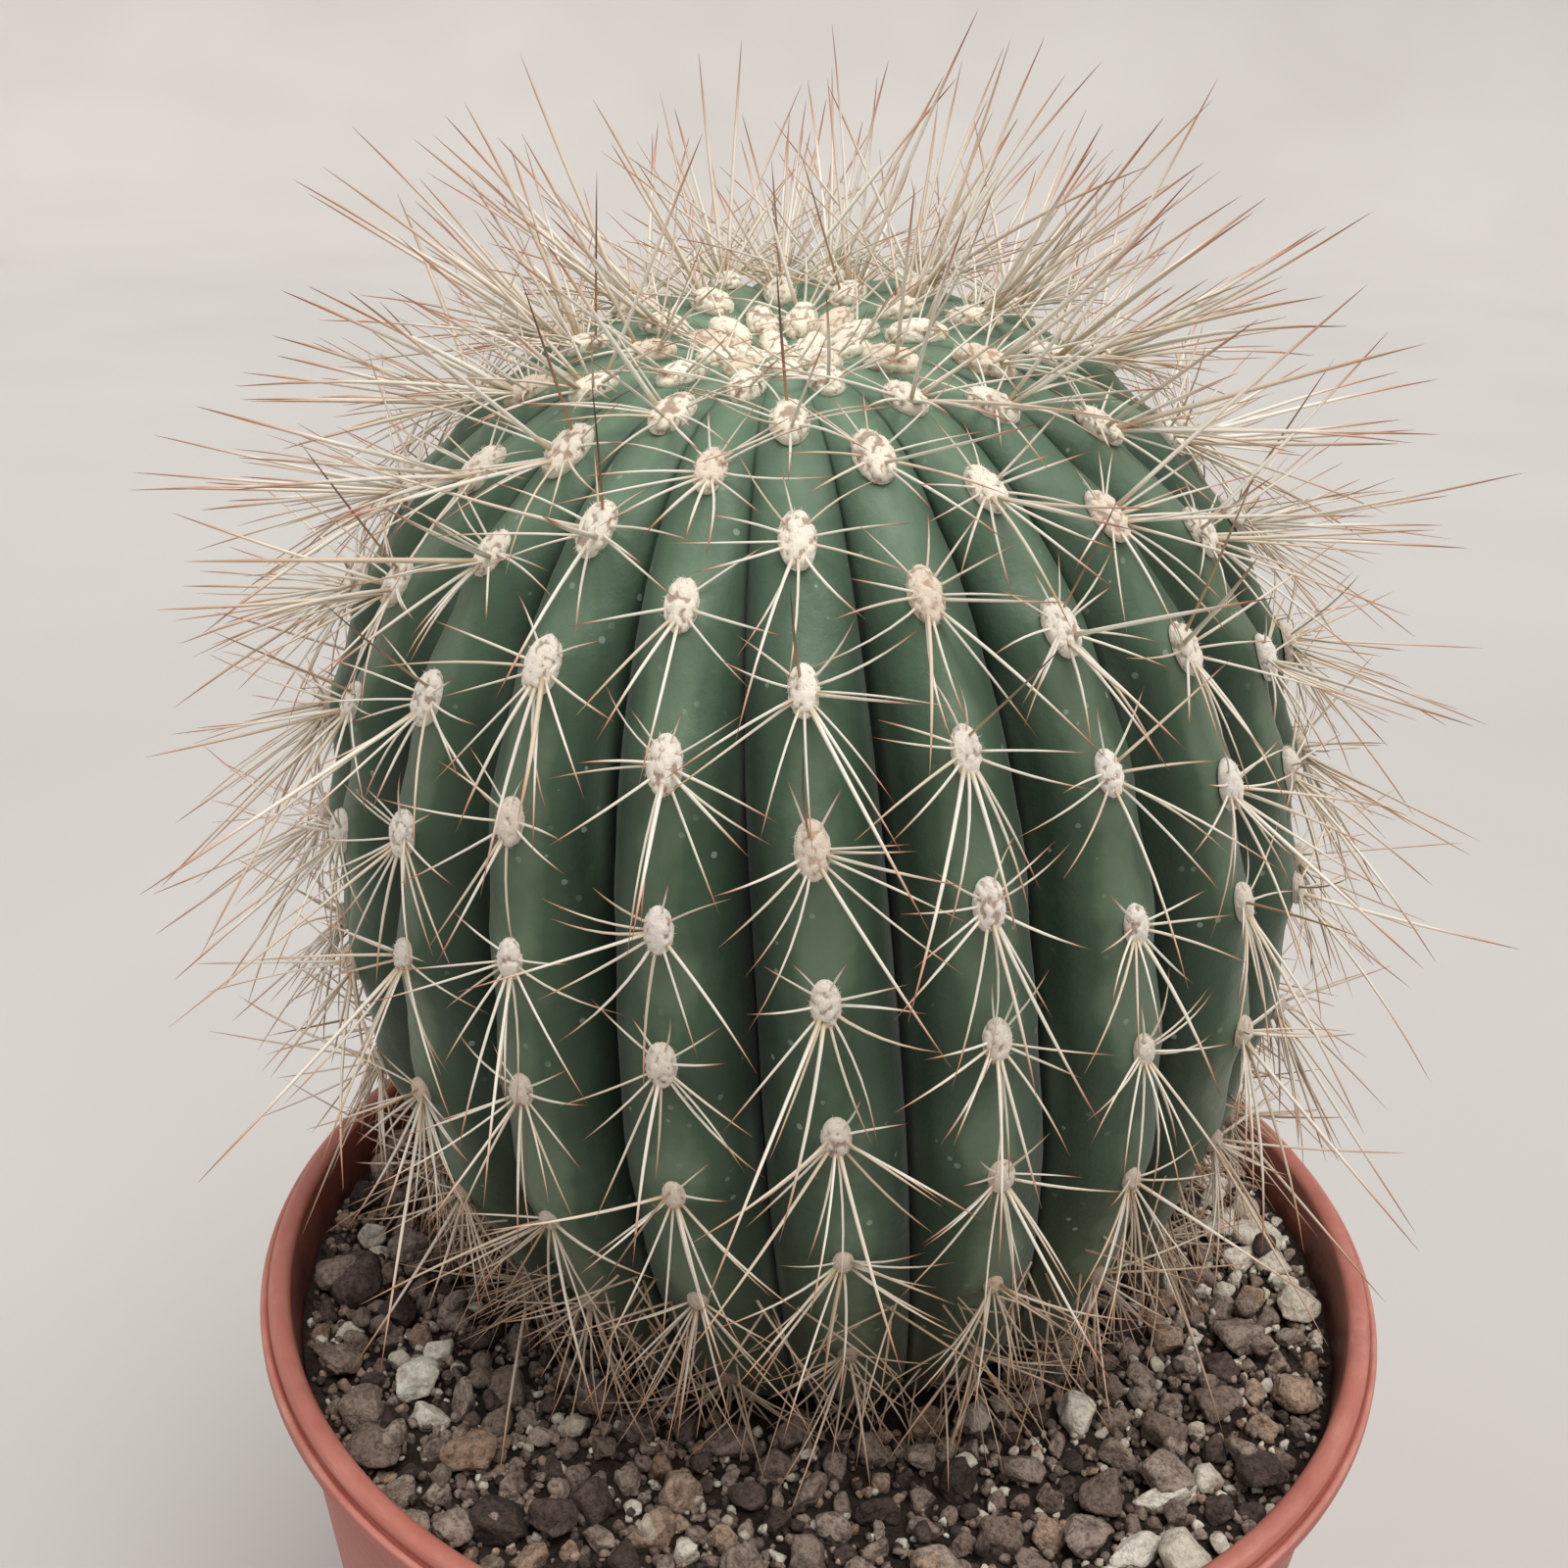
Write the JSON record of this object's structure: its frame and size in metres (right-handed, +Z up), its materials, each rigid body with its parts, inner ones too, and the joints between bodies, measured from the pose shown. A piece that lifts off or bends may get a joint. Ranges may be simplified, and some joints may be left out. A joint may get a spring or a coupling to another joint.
{
  "type": "potted round cactus",
  "caption": "Round ribbed cactus with woolly areoles and long straw-coloured spines, standing in gritty soil in a tapered plastic nursery pot with a rolled rim.",
  "frame": {"origin": "centre of the pot's flat underside, on the surface that the pot stands on", "axes": "+Z up along the pot's axis; -Y is the front, the side that the picture looks at; +X is to the right seen from the front"},
  "size_m": [0.1886, 0.1851, 0.2992],
  "materials": {
    "pot_plastic": "satin",
    "soil_grit": "matte",
    "cactus_skin": "satin",
    "areole_and_spines": "matte",
    "stone_grey": "matte"
  },
  "bodies": {
    "root": {"pot": "pot_plastic", "soil": "soil_grit", "cactus_stem": "cactus_skin", "areole_crown_01": "areole_and_spines", "areole_crown_02": "areole_and_spines", "areole_crown_03": "areole_and_spines", "areole_crown_04": "areole_and_spines", "areole_crown_05": "areole_and_spines", "areole_crown_06": "areole_and_spines", "areole_crown_07": "areole_and_spines", "areole_crown_08": "areole_and_spines", "areole_crown_09": "areole_and_spines", "areole_crown_10": "areole_and_spines", "areole_crown_11": "areole_and_spines", "areole_shoulder_01": "areole_and_spines", "areole_shoulder_02": "areole_and_spines", "areole_shoulder_03": "areole_and_spines", "areole_shoulder_04": "areole_and_spines", "areole_shoulder_05": "areole_and_spines", "areole_shoulder_06": "areole_and_spines", "areole_shoulder_07": "areole_and_spines", "areole_shoulder_08": "areole_and_spines", "areole_shoulder_09": "areole_and_spines", "areole_shoulder_10": "areole_and_spines", "areole_shoulder_11": "areole_and_spines", "areole_widest_01": "areole_and_spines", "areole_widest_02": "areole_and_spines", "areole_widest_03": "areole_and_spines", "areole_widest_04": "areole_and_spines", "areole_widest_05": "areole_and_spines", "areole_widest_06": "areole_and_spines", "areole_widest_07": "areole_and_spines", "areole_widest_08": "areole_and_spines", "areole_widest_09": "areole_and_spines", "areole_widest_10": "areole_and_spines", "areole_widest_11": "areole_and_spines", "stone_01": "stone_grey", "stone_02": "stone_grey", "stone_03": "stone_grey", "stone_04": "stone_grey", "stone_05": "stone_grey", "stone_06": "stone_grey", "stone_07": "stone_grey", "stone_08": "stone_grey", "stone_09": "stone_grey", "stone_10": "stone_grey", "stone_11": "stone_grey", "stone_12": "stone_grey", "stone_13": "stone_grey", "stone_14": "stone_grey", "stone_15": "stone_grey", "stone_16": "stone_grey", "stone_17": "stone_grey", "stone_18": "stone_grey"}
  },
  "joints": []
}
